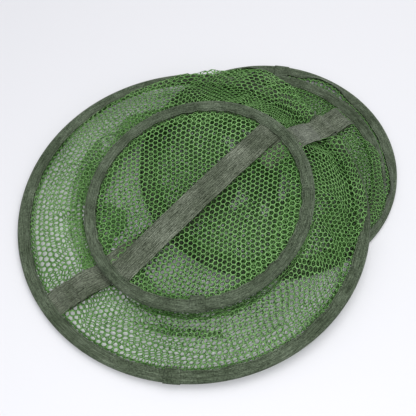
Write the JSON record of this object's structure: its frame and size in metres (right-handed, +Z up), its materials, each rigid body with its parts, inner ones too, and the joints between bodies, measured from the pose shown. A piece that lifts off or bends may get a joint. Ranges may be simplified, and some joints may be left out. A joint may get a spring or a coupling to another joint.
{
  "type": "folding crab trap",
  "caption": "Collapsible crab trap, shown pressed flat: webbing-bound wire hoops of different sizes joined by hexagonal netting and side straps, with a handle strap across the closed base.",
  "frame": {"origin": "middle of the whole outline in plan, on the floor that the mouth hoop lies on", "axes": "+Z up, out of the closed base with its handle strap; +X and +Y level, the mouth hoop lies towards +X +Y of the widest hoop"},
  "size_m": [0.4368, 0.4212, 0.068],
  "materials": {
    "spring_steel": "bright drawn spring wire, sheathed in the tape",
    "ferrule_metal": "plain crimped sleeve",
    "binding_tape": "olive ribbed polyester tape, folded and stitched",
    "webbing": "olive flat-woven polyester webbing",
    "netting": "knitted hexagonal polyester netting, bright green"
  },
  "bodies": {
    "mouth_hoop": {"mouth_hoop_wire": "spring_steel", "mouth_hoop_ferrule": "ferrule_metal", "mouth_hoop_tape": "binding_tape", "throat_net": "netting", "lower_side_net": "netting", "lower_strap_right": "webbing", "lower_strap_left": "webbing"},
    "third_hoop": {"third_hoop_wire": "spring_steel", "third_hoop_ferrule": "ferrule_metal", "third_hoop_tape": "binding_tape", "middle_side_net": "netting", "middle_strap_right": "webbing", "middle_strap_left": "webbing"},
    "wide_hoop": {"wide_hoop_wire": "spring_steel", "wide_hoop_ferrule": "ferrule_metal", "wide_hoop_tape": "binding_tape", "upper_side_net": "netting", "upper_strap_right": "webbing", "upper_strap_left": "webbing"},
    "base_hoop": {"base_hoop_wire": "spring_steel", "base_hoop_ferrule": "ferrule_metal", "base_hoop_tape": "binding_tape", "base_net": "netting", "handle_strap": "webbing"}
  },
  "joints": [
    {"name": "third_slide", "type": "slide", "parent": "mouth_hoop", "child": "third_hoop", "axis": [0.0374, 0.0592, 0.9975], "range_m": [0, 0.1604], "deforming": ["lower_side_net", "lower_strap_right", "lower_strap_left"]},
    {"name": "wide_slide", "type": "slide", "parent": "third_hoop", "child": "wide_hoop", "axis": [0.4517, 0.3461, 0.8223], "range_m": [0, 0.18], "deforming": ["middle_side_net", "middle_strap_right", "middle_strap_left"]},
    {"name": "base_slide", "type": "slide", "parent": "wide_hoop", "child": "base_hoop", "axis": [-0.043, -0.013, 0.999], "range_m": [0, 0.1], "deforming": ["upper_side_net", "upper_strap_right", "upper_strap_left"]}
  ]
}
